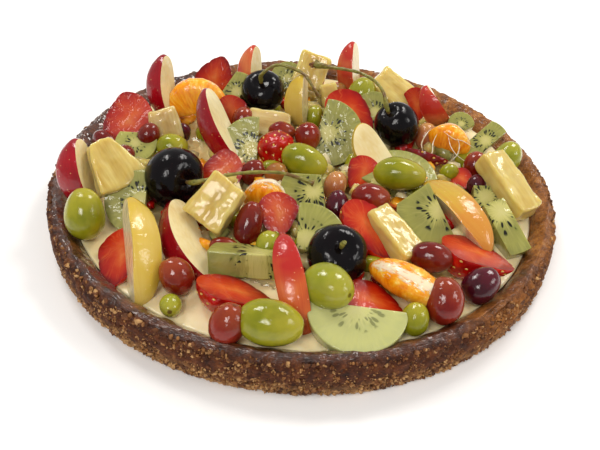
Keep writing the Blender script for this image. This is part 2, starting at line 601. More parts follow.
def grape_look(name, dark, light, blush, length, seed, soft=0.3):
    """Translucent skin that is paler in patches, blushed at one end, with faint veins and a brown scar."""
    s = Shader(name, 0.12, 0.8, 0.02)
    shift = s.shifted(seed * 0.31, seed * 0.17)
    patches = s.ramp(s.noise(shift, 95.0, 3.0), (0.3, 0.0), (0.7, 1.0))
    colour = s.mix(patches, dark, light)
    end = s.plus(s.over(s.xyz[0], length * MM), s.times(s.noise(shift, 120.0), 0.6))
    colour = s.mix(s.ramp(end, (0.2, 0.0), (0.75, 0.75)), colour, blush)
    specks = s.cells(shift, 520.0)
    colour = s.mix(s.ramp(specks, (0.07, 0.25), (0.13, 0.0)), colour, (120, 100, 50))
    ring = s.reach(s.xyz[1], s.xyz[2])
    near = s.plus(s.times(ring, 620.0), s.times(s.grain(900.0), 0.5))
    outer = s.math("GREATER_THAN", s.xyz[0], length * MM * 0.35)
    scar = s.times(s.ramp(near, (0.0, 1.0), (1.0, 0.0)), outer)
    colour = s.mix(s.math("MINIMUM", s.times(scar, 4.0), 0.9), colour, (88, 58, 28))
    rim = s.put("LayerWeight", {"Blend": 0.35}).outputs["Facing"]
    colour = s.mix(s.times(rim, 0.7), colour, s.mix(0.5, light, blush))
    s.set("Base Color", colour)
    s.soft(soft, 0.009, (1.0, 0.85, 0.25))
    s.set("Transmission Weight", 0.12)
    s.set("Normal", s.bump(s.noise(shift, 700.0, 2.0), 0.12, 0.0004))
    s.wobble()
    return s.made


def cherry_look(name):
    """Near-black skin with a faint deep red and fine pale flecks."""
    s = Shader(name, 0.2, 0.6, 0.02, 1.35)
    s.set("Specular IOR Level", 0.15)
    blotches = s.grain(90.0, 4.0)
    patches = s.ramp(blotches, (0.35, (3, 2, 4)), (0.62, (8, 3, 6)), (0.8, (22, 6, 10)))
    flecks = s.ramp(s.cells(s.place, 700.0), (0.06, 0.35), (0.12, 0.0))
    s.set("Base Color", s.mix(flecks, patches, (92, 52, 50)))
    s.set("Normal", s.bump(s.grain(420.0, 3.0), 0.15, 0.0006))
    s.wobble(200.0)
    return s.made


def stem_look(name):
    """Olive green, turning brown at the ends, with fine ridges along it."""
    s = Shader(name, 0.4, 0.7, 0.1)
    streak = s.noise(s.stretched(300, 900, 900), 1.0, 3.0)
    colour = s.ramp(streak, (0.3, (96, 92, 38)), (0.55, (134, 130, 58)), (0.75, (160, 140, 72)))
    brown = s.ramp(s.grain(150.0, 2.0), (0.48, 0.0), (0.62, 0.8))
    s.set("Base Color", s.mix(brown, colour, (104, 66, 32)))
    s.set("Normal", s.bump(streak, 0.5, 0.0004))
    return s.made


def apple_skin(name, first, second, streak_tone, seed):
    """Shiny skin with streaks from pole to pole and small pale dots."""
    s = Shader(name, 0.2, 1.0, 0.03)
    across, up, along = around(s, 11.0)
    streaks = s.noise(s.join(across, up, s.times(along, 26.0)), 1.0, 4.0, 0.6)
    wide = s.noise(s.shifted(seed * 0.2, 0.0), 48.0, 2.0)
    share = s.plus(s.times(s.xyz[0], 12.0), s.times(s.minus(wide, 0.5), 2.2))
    colour = s.mix(s.ramp(s.plus(share, 0.5), (0.25, 0.0), (0.8, 1.0)), first, second)
    colour = s.mix(s.ramp(streaks, (0.42, 0.0), (0.75, 0.45)), colour, streak_tone)
    dots = s.ramp(s.cells(s.place, 330.0), (0.07, 0.6), (0.12, 0.0))
    s.set("Base Color", s.mix(dots, colour, (226, 190, 120)))
    s.set("Normal", s.bump(streaks, 0.06, 0.0005))
    s.soft(0.12, 0.002)
    s.wobble()
    return s.made


def apple_flesh(name, seed):
    """Pale wet flesh, a little brown in patches, with fine grain."""
    s = Shader(name, 0.32, 1.0, 0.06)
    shift = s.shifted(seed * 0.23, 0.1 * seed)
    patches = s.noise(shift, 75.0, 4.0)
    colour = s.ramp(patches, (0.3, (218, 193, 131)), (0.5, (226, 208, 153)), (0.72, (233, 219, 176)))
    grain = s.noise(s.stretched(250, 500, 900), 1.0, 3.0)
    colour = s.mix(s.ramp(grain, (0.4, 0.0), (0.7, 0.25)), colour, (237, 226, 193))
    brown = s.ramp(s.noise(shift, 38.0, 3.0), (0.58, 0.0), (0.8, 0.3))
    s.set("Base Color", s.mix(brown, colour, (192, 147, 76)))
    s.soft(0.3, 0.004, (1.0, 0.8, 0.5))
    s.set("Normal", s.bump(grain, 0.12, 0.0005))
    s.wobble()
    return s.made


def strawberry_skin(name, dark=False):
    """Glossy red, deeper in the pits, with paler patches."""
    s = Shader(name, 0.24, 1.0, 0.04)
    deep, bright, pale = (140, 8, 8), (196, 22, 12), (218, 66, 32)
    if dark:
        deep, bright, pale = (70, 8, 14), (128, 14, 18), (128, 14, 18)
    colour = s.ramp(s.grain(110.0, 3.0), (0.32, deep), (0.58, bright), (0.8, pale))
    s.set("Base Color", colour)
    s.soft(0.25, 0.003, (1.0, 0.25, 0.12))
    s.set("Normal", s.bump(s.grain(900.0, 2.0), 0.2, 0.0004))
    s.wobble(300.0)
    return s.made


def strawberry_flesh(name, length, width, pale=0.0):
    """A cut face: whitish in the middle, coral with streaks outside that, and red at the edge."""
    s = Shader(name, 0.3, 0.65, 0.05)
    x = s.over(s.xyz[0], length * MM / 2)
    y = s.over(s.xyz[1], width * MM / 2)
    taper = s.minus(1.05, s.times(s.math("MAXIMUM", x, BERRY_SHOULDER), BERRY_TAPER))
    y = s.over(y, taper)
    z = s.over(s.xyz[2], width * MM / 2)
    far = s.reach(x, y, z)
    lean = s.times(s.plus(x, s.times(s.grain(120.0), 0.9)), 0.5)
    side = s.reach(lean, y)
    safe = s.math("MAXIMUM", side, 0.02)
    rays = s.join(
        s.times(s.over(lean, safe), 6.0), s.times(s.over(y, safe), 6.0), far
    )
    far = s.plus(s.times(far, 0.55), s.times(side, 0.5))
    streaks = s.noise(rays, 1.0, 3.0, 0.6)
    uneven = s.plus(far, s.times(s.minus(s.grain(110.0), 0.5), 0.75))
    colour = s.ramp(
        uneven,
        (0.0, (213, 123, 60)),
        (0.2, (204, 85 + pale, 31 + pale)),
        (0.42, (190, 54 + pale, 14 + pale)),
        (0.66, (175, 31 + pale, 6)),
        (0.86, (153, 11, 4)),
        (1.0, (120, 3, 3)),
    )
    window = s.ramp(far, (0.15, 0.0), (0.35, 1.0), (0.8, 1.0), (0.95, 0.0))
    share = s.times(s.ramp(streaks, (0.52, 0.0), (0.72, 0.38)), window)
    s.set("Base Color", s.mix(share, colour, (217, 115, 55)))
    s.soft(0.25, 0.003, (1.0, 0.4, 0.2))
    s.set("Normal", s.bump(streaks, 0.2, 0.0006))
    s.wobble()
    return s.made


def kiwi_look(name, width, thick, seed, pale=0.0, clear=False, seeds=1.0):
    """A pale core, black seeds in a ring round it, and fine rays out to the edge."""
    s = Shader(name, 0.28, 1.0, 0.04)
    x, y, z = s.xyz
    reach = s.reach(x, y)
    safe = s.math("MAXIMUM", reach, 0.0002)
    cosine, sine = s.over(x, safe), s.over(y, safe)
    far = s.over(reach, width * MM / 2)
    rays = s.join(s.times(cosine, 11.0), s.times(sine, 11.0), s.plus(s.times(far, 1.6), s.times(z, 160.0)))
    ray = s.noise(rays, 1.0, 3.0, 0.65)
    uneven = s.plus(far, s.times(s.minus(s.grain(120.0), 0.5), 0.2))
    uneven = s.minus(uneven, s.times(s.minus(ray, 0.5), 0.5))
    colour = s.ramp(
        uneven,
        (0.0, (196, 185, 114)),
        (0.19, (184, 175, 95)),
        (0.28, (149 + pale, 142 + pale, 59 + pale)),
        (0.45, (117 + pale, 113 + pale, 30 + pale)),
        (0.78, (135 + pale, 131 + pale, 40 + pale)),
        (0.96, (119 + pale, 117 + pale, 33 + pale)),
    )
    window = s.ramp(far, (0.14, 0.0), (0.3, 1.0))
    share = s.times(s.ramp(ray, (0.46, 0.0), (0.7, 0.15 if clear else 0.4)), window)
    colour = s.mix(share, colour, (173, 167, 83))
    colour = s.mix(0.45 if clear else 0.14, colour, (204, 208, 156))
    spokes = s.join(s.times(cosine, 4.6), s.times(sine, 4.6), s.plus(s.times(far, 4.4), s.times(z, 260.0)))
    spokes = s.put("VectorMath", {0: spokes, 1: (seed * 1.37, seed * 2.11, 0.0)}, operation="ADD").outputs[0]
    grains = s.cells(spokes, 1.0)
    level = s.over(s.math("ABSOLUTE", z), thick * MM / 2)
    broken = s.math("GREATER_THAN", s.noise(s.stretched(180, 180, 420), 1.0, 1.0), 0.52)
    shown = s.math("MAXIMUM", broken, s.math("GREATER_THAN", level, 0.86))
    ring = s.ramp(far, (0.23, 0.0), (0.27, 1.0), (0.52, 1.0), (0.58, 0.0))
    ring = s.times(ring, shown)
    dark = s.times(s.ramp(grains, (0.34, seeds), (0.4, 0.0)), ring)
    halo = s.times(s.ramp(grains, (0.34, 0.6 * seeds), (0.55, 0.0)), ring)
    colour = s.mix(halo, colour, (101, 115, 31))
    colour = s.mix(dark, colour, (20, 14, 9))
    s.set("Base Color", colour)
    s.soft(0.5 if clear else 0.35, 0.005, (1.0, 1.0, 0.4))
    height = s.plus(s.times(ray, 0.5), s.times(dark, 0.6))
    s.set("Normal", s.bump(height, 0.3, 0.0006))
    s.wobble()
    return s.made


def pineapple_look(name, seed, pale=0.0):
    """Clear wet flesh with faint fibres that run outwards, deeper in patches."""
    s = Shader(name, 0.3, 1.0, 0.04)
    fibres = s.noise(s.stretched(45, 420, 300), 1.0, 4.0, 0.5)
    broad = s.noise(s.shifted(0.1 * seed, 0.2), 90.0, 3.0)
    colour = s.ramp(
        fibres,
        (0.3, (186, 150, 62 + pale)),
        (0.44, (201, 170, 84 + pale)),
        (0.56, (209, 182, 98 + pale)),
        (0.7, (221, 201, 124 + pale)),
    )
    colour = s.mix(s.ramp(broad, (0.4, 0.0), (0.7, 0.6)), colour, (215, 193, 114 + pale))
    rim = s.put("LayerWeight", {"Blend": 0.3}).outputs["Facing"]
    s.set("Base Color", s.mix(s.times(rim, 0.6), colour, (228, 215, 150)))
    s.soft(0.8, 0.008, (1.0, 0.85, 0.4))
    s.set("Transmission Weight", 0.1)
    s.set("Normal", s.bump(fibres, 0.05, 0.0006))
    s.wobble(110.0, 0.001)
    return s.made


def mandarin_look(name, pith=0.0):
    """Orange juice sacs under a thin skin, with white pith along the back."""
    s = Shader(name, 0.26, 1.0, 0.04)
    fan = s.over(s.xyz[0], s.plus(s.xyz[2], 0.022))
    cells = s.join(s.times(fan, 9.0), s.times(s.xyz[1], 330.0), s.times(s.xyz[2], 70.0))
    sacs = s.noise(cells, 1.0, 3.0, 0.6)
    colour = s.ramp(
        sacs,
        (0.3, (224, 122, 4)),
        (0.46, (242, 152, 16)),
        (0.6, (248, 176, 42)),
        (0.72, (252, 214, 116)),
    )
    veil = s.ramp(s.grain(90.0, 3.0), (0.5, 0.0), (0.8, 0.25))
    colour = s.mix(veil, colour, (248, 206, 130))
    ragged = s.times(s.minus(s.noise(s.stretched(150, 420, 200), 1.0, 4.0, 0.7), 0.5), 0.014)
    side = s.math("ABSOLUTE", s.plus(s.xyz[1], ragged))
    band = s.ramp(s.times(side, 100.0), (0.08 + 0.04 * pith, 0.9 * pith), (0.14 + 0.14 * pith, 0.0))
    top = s.ramp(s.times(s.xyz[2], 100.0), (0.1, 0.0), (0.3, 1.0))
    share = s.times(band, top)
    colour = s.mix(share, colour, (238, 226, 196))
    s.set("Base Color", colour)
    s.soft(0.3, 0.004, (1.0, 0.5, 0.15))
    s.set("Normal", s.bump(s.plus(sacs, share), 0.4, 0.0009))
    s.wobble()
    return s.made


def pith_look(name):
    s = Shader(name, 0.5, 0.6, 0.12)
    fine = s.grain(500.0, 3.0)
    s.set("Base Color", s.ramp(fine, (0.3, (222, 200, 150)), (0.6, (244, 234, 208))))
    s.soft(0.3, 0.002, (1.0, 0.9, 0.7))
    s.set("Normal", s.bump(fine, 0.3, 0.0004))
    return s.made


def seed_look(name):
    s = Shader(name, 0.35, 0.8, 0.05)
    patches = s.grain(160.0, 2.0)
    s.set("Base Color", s.ramp(patches, (0.35, (196, 150, 56)), (0.65, (232, 200, 108))))
    s.set("Normal", s.bump(s.grain(1500.0), 0.2, 0.0002))
    return s.made


def crust_look(name):
    """Baked dough under a dark glaze: caramel to the right and behind, near black in the hollows in front."""
    s = Shader(name, 0.34, 0.5, 0.06)
    s.set("Coat IOR", 1.5)
    x, y, z = s.xyz
    reach = s.reach(x, y)
    outer = s.ramp(s.minus(s.times(reach, 100.0), 12.0), (0.5, 0.0), (0.8, 1.0))
    broad = s.grain(34.0, 3.0)
    fine = s.grain(210.0, 5.0, 0.65)
    grit = s.grain(900.0, 4.0, 0.7)
    glaze = s.ramp(
        fine,
        (0.3, (40, 19, 11)),
        (0.48, (78, 39, 20)),
        (0.62, (106, 58, 30)),
        (0.8, (150, 94, 50)),
    )
    warm = s.ramp(
        fine,
        (0.3, (88, 48, 18)),
        (0.5, (142, 86, 36)),
        (0.66, (178, 118, 56)),
        (0.82, (210, 158, 90)),
    )
    turn = s.plus(s.times(x, 5.2), s.times(y, 2.6))
    turn = s.plus(turn, s.times(s.minus(broad, 0.5), 1.6))
    colour = s.mix(s.ramp(s.plus(turn, 0.5), (0.55, 0.0), (0.95, 1.0)), glaze, warm)
    foot = s.plus(s.times(z, -90.0), s.times(fine, 1.4))
    colour = s.mix(s.ramp(s.plus(foot, 0.6), (0.35, 0.0), (0.9, 0.7)), colour, (168, 124, 76))
    colour = s.mix(s.ramp(grit, (0.36, 0.55), (0.5, 0.0)), colour, (44, 24, 14))
    s.set("Base Color", colour)
    s.set("Roughness", s.ramp(outer, (0.0, 0.32), (1.0, 0.8)))
    dull = s.minus(1.0, s.times(s.ramp(s.plus(turn, 0.5), (0.4, 0.0), (0.8, 1.0)), 0.8))
    s.set("Coat Weight", s.times(s.ramp(outer, (0.0, 1.0), (1.0, 0.04)), dull))
    level = s.times(s.minus(z, s.times(reach, 0.7)), 620.0)
    ridges = s.noise(s.join(s.times(x, 42.0), s.times(y, 42.0), level), 1.0, 3.0, 0.6)
    height = s.plus(s.times(fine, 0.7), s.times(grit, 0.4))
    height = s.plus(height, s.times(ridges, 1.4))
    bumps = s.bump(height, 0.7, 0.0016)
    s.set("Normal", bumps)
    waves = s.plus(s.grain(120.0, 2.0), s.times(ridges, 0.5))
    s.set("Coat Normal", s.bump(waves, 0.8, 0.0034))
    return s.made


def crumb_look(name, dark, light):
    s = Shader(name, 0.6, 0.25, 0.2)
    fine = s.grain(700.0, 4.0, 0.65)
    s.set("Base Color", s.ramp(s.grain(230.0, 2.0), (0.3, dark), (0.68, light)))
    s.set("Normal", s.bump(fine, 0.6, 0.0006))
    return s.made


def cream_look(name):
    """Smooth yellow cream with a wet shine, a little deeper in patches."""
    s = Shader(name, 0.42, 0.45, 0.12)
    broad = s.grain(60.0, 3.0)
    deep, middle, pale = (236, 212, 158), (244, 224, 176), (250, 234, 194)
    s.set("Base Color", s.ramp(broad, (0.3, deep), (0.55, middle), (0.78, pale)))
    s.soft(0.4, 0.006, (1.0, 0.8, 0.45))
    s.set("Normal", s.bump(s.grain(170.0, 3.0), 0.2, 0.0012))
    s.wobble(90.0, 0.0012)
    return s.made


def gel_look(name):
    """Clear jelly that fills the lows between the pieces."""
    s = Shader(name, 0.03, 0.0, 0.03, 1.36)
    s.set("Transmission Weight", 1.0)
    patches = s.grain(60.0)
    s.set("Base Color", s.ramp(patches, (0.3, (246, 236, 204)), (0.7, (252, 248, 232))))
    s.set("Normal", s.bump(s.grain(220.0, 2.0), 0.3, 0.001))
    return s.made


# Pieces.


def placed(name, bm, place, smooth=True):
    """An object from a shape that was made about its own middle, put in its place."""
    bmesh.ops.recalc_face_normals(bm, faces=bm.faces)
    for face in bm.faces:
        face.smooth = smooth and len(face.verts) < 12
    mesh = bpy.data.meshes.new(name)
    bm.to_mesh(mesh)
    bm.free()
    mesh.transform(Matrix.Scale(MM, 4) @ place)
    obj = bpy.data.objects.new(name, mesh)
    bpy.context.scene.collection.objects.link(obj)
    return obj


class Heap:
    """Many small balls as one mesh."""

    def __init__(self, detail):
        bm = bmesh.new()
        bmesh.ops.create_icosphere(bm, subdivisions=detail, radius=1.0)
        bm.verts.index_update()
        self.ball = [v.co.copy() for v in bm.verts]
        self.faces = [tuple(v.index for v in f.verts) for f in bm.faces]
        bm.free()
        self.points = []
        self.sides = []

    def add(self, shift):
        """One more ball, with each of its points moved by shift."""
        first = len(self.points)
        self.points += [shift(co) * MM for co in self.ball]
        self.sides += [tuple(first + i for i in face) for face in self.faces]

    def made(self, name):
        mesh = bpy.data.meshes.new(name)
        mesh.from_pydata(self.points, [], self.sides)
        for face in mesh.polygons:
            face.use_smooth = True
        obj = bpy.data.objects.new(name, mesh)
        bpy.context.scene.collection.objects.link(obj)
        return obj


def finished(obj, slot_name, looks, *nodes):
    for look in looks:
        obj.data.materials.append(look)
    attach(obj, "root")
    if nodes:
        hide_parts(*nodes)
    return obj


GRAPES = {
    "green_grape": ((116, 121, 8), (162, 161, 28), (180, 168, 54), 0.6),
    "lime_grape": ((121, 129, 13), (160, 164, 40), (173, 166, 59), 0.6),
    "red_grape": ((107, 8, 6), (145, 34, 21), (158, 71, 35), 0.5),
    "plum_grape": ((83, 3, 5), (121, 20, 16), (134, 46, 27), 0.45),
    "pink_grape": ((158, 84, 50), (190, 124, 80), (196, 146, 84), 0.55),
    "brown_grape": ((128, 66, 30), (168, 104, 50), (178, 128, 64), 0.5),
    "dark_grape": ((48, 6, 18), (80, 12, 30), (100, 24, 38), 0.3),
}
APPLES = {
    "red_apple": ((142, 4, 20), (162, 12, 26), (106, 2, 14)),
    "blush_apple": ((176, 36, 30), (206, 104, 44), (166, 34, 26)),
    "orange_apple": ((199, 164, 58), (202, 138, 53), (193, 108, 40)),
    "yellow_apple": ((203, 171, 56), (214, 185, 96), (199, 158, 58)),
    "rosy_apple": ((186, 48, 34), (220, 132, 72), (168, 34, 28)),
}
# Each look's shape, and its slot in the part's list of materials.
LOOKS = {
    look: (shape, slot)
    for shape, slot, looks in (
        (cherry, "cherry", ("cherry",)),
        (grape, "green_grape", ("green_grape", "lime_grape")),
        (grape, "red_grape", ("red_grape", "plum_grape", "pink_grape", "brown_grape", "dark_grape")),
        (apple, "red_apple", ("red_apple", "blush_apple", "rosy_apple")),
        (apple, "orange_apple", ("orange_apple",)),
        (apple, "yellow_apple", ("yellow_apple",)),
        (strawberry, "strawberry", ("strawberry", "coral", "dark_berry")),
        (kiwi, "kiwi", ("kiwi", "pale_kiwi", "clear_kiwi")),
        (pineapple, "pineapple", ("pineapple", "pale_pineapple")),
        (mandarin, "mandarin", ("mandarin", "pith_mandarin")),
    )
    for look in looks
}


def looks_of(name, look, values, seed, place):
    """The materials of a piece: its outside, and what shows where it is cut."""
    Shader.frame = place
    made = list_looks(name, look, values, seed)
    Shader.frame = Matrix.Identity(4)
    return made


def list_looks(name, look, values, seed):
    if look in GRAPES:
        dark, light, blush, soft = GRAPES[look]
        return [grape_look(name, dark, light, blush, values[0], seed, soft)]
    if look in APPLES:
        return [apple_skin(name, *APPLES[look], seed), apple_flesh(name + "_flesh", seed)]
    if look == "cherry":
        return [cherry_look(name)]
    if look in ("strawberry", "coral", "dark_berry"):
        pale = 10.0 if look == "coral" else 0.0
        skin = strawberry_skin(name, look == "dark_berry")
        return [skin, strawberry_flesh(name + "_flesh", values[0], values[1], pale)]
    if look in ("kiwi", "pale_kiwi", "clear_kiwi"):
        pale = {"pale_kiwi": 22.0, "clear_kiwi": 34.0}.get(look, 0.0)
        clear = look == "clear_kiwi"
        made = kiwi_look(name, values[0], values[1], seed, pale, clear, 0.4 if clear else 1.0)
        return [made, made]
    if look in ("pineapple", "pale_pineapple"):
        return [pineapple_look(name, seed, 22.0 if look == "pale_pineapple" else 0.0)]
    return [mandarin_look(name, 1.0 if look == "pith_mandarin" else 0.35)]


def settle(bm, place, middle):
    """Lets the hidden lower half of a small fruit down until it grips the bed."""
    bmesh.ops.transform(bm, matrix=place, verts=bm.verts)
    grip = BED_TOP - BED_GRIP
    low = min(v.co.z for v in bm.verts)
    if low > grip:
        stretch = (middle - grip) / (middle - low)
        for v in bm.verts:
            if v.co.z < middle:
                v.co.z = middle - (middle - v.co.z) * stretch
    bmesh.ops.transform(bm, matrix=place.inverted(), verts=bm.verts)


def add_seeds(heap, places, matrix):
    """A flat pointed seed at each place, lying on the berry's skin."""
    for at, outward in places:
        at = matrix @ at
        outward = (matrix.to_3x3() @ outward).normalized()
        along = (matrix.to_3x3() @ Vector((1, 0, 0))).normalized()
        lie = turned(at, along - outward * along.dot(outward), outward)
        heap.add(lambda co: lie @ Vector((co.x * 0.85, co.y * 0.5 * (1.0 - 0.35 * co.x), co.z * 0.36)))


def make_fruit():
    """Every piece of fruit, with the seeds of all the strawberries as one mesh."""
    seeds = Heap(2)
    for number, (name, look, values, at, along, up) in enumerate(PIECES):
        place = turned(at, along, up)
        shape, slot = LOOKS[look]
        SEEDS.clear()
        bm = shape(*values)
        add_seeds(seeds, SEEDS, place)
        obj = placed("the_" + name, bm, place)
        finished(obj, slot, looks_of("vlaai_" + name, look, values, number, place), name)
    for number, (look, values, at, along, up) in enumerate(SMALL):
        place = turned(at, along, up)
        shape, slot = LOOKS[look]
        SEEDS.clear()
        bm = shape(*values)
        settle(bm, place, at[2])
        add_seeds(seeds, SEEDS, place)
        name = "small_%s_%d" % (look, number)
        obj = placed(name, bm, place)
        looks = looks_of("vlaai_" + name, look, values, number + SMALL_SEEDS_FROM, place)
        finished(obj, slot, looks, "fruit_bed")
    finished(seeds.made("strawberry_seeds"), "strawberry", [seed_look("vlaai_seeds")])


def through(points, steps):
    """A smooth path through the points."""
    path = []
    last = len(points) - 1
    for i in range(last):
        a, b = points[max(i - 1, 0)], points[i]
        c, d = points[i + 1], points[min(i + 2, last)]
        for k in range(steps):
            t = k / steps
            square, cube = 2 * a - 5 * b + 4 * c - d, 3 * b - a - 3 * c + d
            path.append(0.5 * (2 * b + (c - a) * t + square * t**2 + cube * t**3))
    path.append(points[last])
    return path


def make_stems():
    """Thin stems that swell where they join the cherry and at a knobbly far end."""
    sides = 12
    brown = crumb_look("vlaai_stem_end", (70, 40, 22), (134, 90, 52))
    for name, points in STEMS.items():
        path = through([Vector(p) for p in points], 10)
        bm = bmesh.new()
        rings = []
        last = len(path) - 1
        for i, point in enumerate(path):
            ahead = path[min(i + 1, last)] - path[max(i - 1, 0)]
            across = ahead.cross(Vector((0, 1, 0.3))).normalized()
            upward = across.cross(ahead).normalized()
            knob = KNOBS[name] * math.exp(-(((last - i) / 7.0) ** 2))
            root = 0.5 * math.exp(-(((i - 10) / 5.0) ** 2))
            wide = STEM_RADIUS * 0.85 + knob + root + 0.18 * noise.noise(point / 3.0)
            ring = []
            for k in range(sides):
                turn = 2 * math.pi * k / sides
                rough = wide * (1.0 + 0.22 * noise.noise(Vector((i / 3.0, k * 1.3, 0))) * (1.0 + 2.0 * knob))
                corner = point + across * rough * math.cos(turn) + upward * rough * math.sin(turn)
                corner.z = min(corner.z, STEM_TOP)
                ring.append(bm.verts.new(corner))
            rings.append(ring)
        for first, second in zip(rings, rings[1:]):
            for k in range(sides):
                after = (k + 1) % sides
                bm.faces.new((first[k], first[after], second[after], second[k]))
        bm.faces.new(rings[0][::-1])
        bm.faces.new(rings[-1])
        if KNOBS[name] > 1.0:
            for lump in range(9):
                side = noise.noise_vector(Vector((lump * 2.7, 1.3, 4.1)))
                at = Vector(points[-1]) + Vector((side.x * 4.5 - 1.0, side.y * 3.5, side.z * 2.5))
                made = bmesh.ops.create_icosphere(bm, subdivisions=2, radius=1.0)
                for v in made["verts"]:
                    v.co = at + v.co * (1.0 + 0.5 * noise.noise(v.co * 1.7 + at))
                for face in {f for v in made["verts"] for f in v.link_faces}:
                    face.material_index = 1
        obj = placed("stem_of_" + name, bm, Matrix.Identity(4))
        finished(obj, "cherry", [stem_look("vlaai_stem_" + name), brown], name)


def make_strands():
    """Loose white strings that hang from the mandarin on the right."""
    paths = (
        ((70, 30, 33), (68, 25, 31), (67.5, 20, 29), (66, 16, 26)),
        ((76, 28, 34), (77, 22, 31.5), (80, 18, 29), (84, 15, 27.5)),
        ((74, 30, 35), (79, 26, 33.5), (84, 27, 32), (90, 26, 29)),
        ((67, 34, 34), (64, 29, 33), (62, 25, 30), (63, 21, 27)),
        ((80, 30, 34.5), (82, 25, 31), (81, 20, 28), (78, 17, 26)),
    )
    heap = Heap(2)
    for points in paths:
        path = through([Vector(p) for p in points], 8)
        for i, point in enumerate(path[:-1]):
            wide = (0.05 + 0.13 * math.sin(math.pi * i / len(path))) * (1.0 + 0.6 * noise.noise(point / 2.0))
            lie = turned(point, path[i + 1] - point, (0, 0.3, 1))
            heap.add(lambda co: lie @ Vector((co.x * 0.9, co.y * wide * 1.8, co.z * wide)))
    obj = heap.made("mandarin_strings")
    finished(obj, "mandarin", [pith_look("vlaai_strings")])


def revolved(name, section, steps, shift):
    """A solid of revolution whose points are then moved by shift, a function of a point."""
    bm = bmesh.new()
    rings = []
    for radius, height in section:
        ring = []
        for k in range(steps):
            turn = 2 * math.pi * k / steps
            point = Vector((radius * math.cos(turn), radius * math.sin(turn), height))
            ring.append(bm.verts.new(shift(point)))
        rings.append(ring)
    for first, second in zip(rings, rings[1:]):
        for k in range(steps):
            after = (k + 1) % steps
            bm.faces.new((first[k], first[after], second[after], second[k]))
    bm.faces.new(rings[0][::-1])
    bm.faces.new(rings[-1])
    return placed(name, bm, Matrix.Identity(4))


def crust_shift(point):
    """The bumps, folds and crags of the baked rim."""
    if point.z < 0.5:
        return point
    out = Vector((point.x, point.y, 0)).normalized()
    radius = math.hypot(point.x, point.y)
    if radius < RIM_INSIDE:
        return point
    shake = noise.noise_vector(point / 7.0) * RIM_BUMP
    inner = max(0.0, min(1.0, (radius - RIM_INSIDE) / 3.0))
    outer = max(0.0, min(1.0, (radius - 121.0) / 5.0))
    side = outer * max(0.0, min(1.0, (22.5 - point.z) / 3.0))
    ridge = 0.7 - 2.2 * abs(noise.noise(Vector((out.x * 7.0, out.y * 7.0, (point.z - 0.6 * radius) / 2.4))))
    folds = noise.noise(point / 5.0 + Vector((9, 4, 2)))
    crags = noise.noise(point / 2.3 + Vector((1, 8, 5)))
    grit = noise.noise(point / 1.0 + Vector((3, 3, 7)))
    flakes = abs(noise.noise(point / 3.4 + Vector((5, 1, 2))))
    relief = 0.4 * folds + 0.7 * ridge + (0.1 + 1.1 * side) * crags + (0.04 + 0.6 * side) * grit
    relief += 2.6 * side * (flakes - 0.2) - 1.1 * outer
    moved = point + out * (shake.x + relief * inner)
    moved.z += 0.6 * shake.z + inner * (0.4 * folds + 1.1 * ridge * (1.0 - 0.6 * side) + 0.2 * crags)
    reach = math.hypot(moved.x, moved.y)
    if reach > CRUST_REACH:
        moved -= out * (reach - CRUST_REACH)
    moved.z = max(moved.z, 0.02)
    return moved


def make_crust():
    profile = through([Vector((radius, 0, height)) for radius, height in CASE_SECTION], 5)
    section = [(p.x, max(0.0, p.z)) for p in profile]
    obj = revolved("baked_crust", section, 870, crust_shift)
    finished(obj, "crust", [crust_look("vlaai_crust")], "crust")


def make_crumbs():
    """Loose crumbs baked onto the outside of the crust, thickest along its lower edge."""
    draw = random.Random(11)
    front_left = 4.3
    kinds = (
        ("crumbs_dark", 8600, 0.8, (62, 32, 14), (118, 70, 34)),
        ("crumbs_nutty", 4600, 1.15, (108, 66, 32), (168, 116, 64)),
        ("crumbs_light", 3400, 2.6, (138, 96, 54), (196, 152, 98)),
    )
    for name, count, sink, dark, light in kinds:
        heap = Heap(1)
        for _ in range(count):
            turn = draw.uniform(0.0, 2 * math.pi)
            if sink > 1.5 and draw.random() < 0.5:
                turn = draw.gauss(front_left, 0.6)
            height = 0.6 + 19.5 * draw.random() ** sink
            size = 0.6 + 2.1 * draw.random() ** 2.4
            share = min(1.0, height / 11.0)
            radius = 125.6 + 3.1 * math.sin(share * math.pi / 2) - 0.03 * max(0.0, height - 12.0) ** 2
            radius = min(radius + draw.uniform(-0.4, 0.9), 129.5 - 0.8 * size)
            middle = Vector((radius * math.cos(turn), radius * math.sin(turn), max(height, 0.8 * size)))
            lie = turned(middle, [draw.gauss(0, 1) for _ in range(3)], (0.1, 0.2, 1))
            spread = [size * draw.uniform(0.35, 1.0) for _ in range(3)]

            def shift(co):
                co = lie @ Vector([co[i] * spread[i] * draw.uniform(0.55, 1.0) for i in range(3)])
                co.z = max(co.z, 0.03)
                return co

            heap.add(shift)
        finished(heap.made(name), "crust", [crumb_look("vlaai_" + name, dark, light)])


def make_cream():
    section = [(113.4, CASE_FLOOR + 0.4), (115.0, 12.0), (116.6, CREAM_TOP - 0.3)]
    section += [(radius, CREAM_TOP) for radius in (115.6, 114.0)]
    section += [(112.0 - 2.6 * k, CREAM_TOP) for k in range(42)]

    def shift(point):
        if point.z < CREAM_TOP - 0.5:
            return point
        rise = 0.35 * noise.noise(point / 16.0) + 0.25 * noise.noise(point / 6.0)
        return point + Vector((0, 0, rise))

    obj = revolved("pastry_cream", section, 240, shift)
    finished(obj, "cream", [cream_look("vlaai_cream")], "cream")
    values = (11.5, 9.8, 4)
    place = turned((-53.5, -99, 20.2), (0.1, -0.9, 0.25), (0, 0, 1))
    obj = placed("tiny_grape", grape(*values), place)
    looks = looks_of("vlaai_tiny_grape", "lime_grape", values, 60, place)
    finished(obj, "green_grape", looks, "cream")


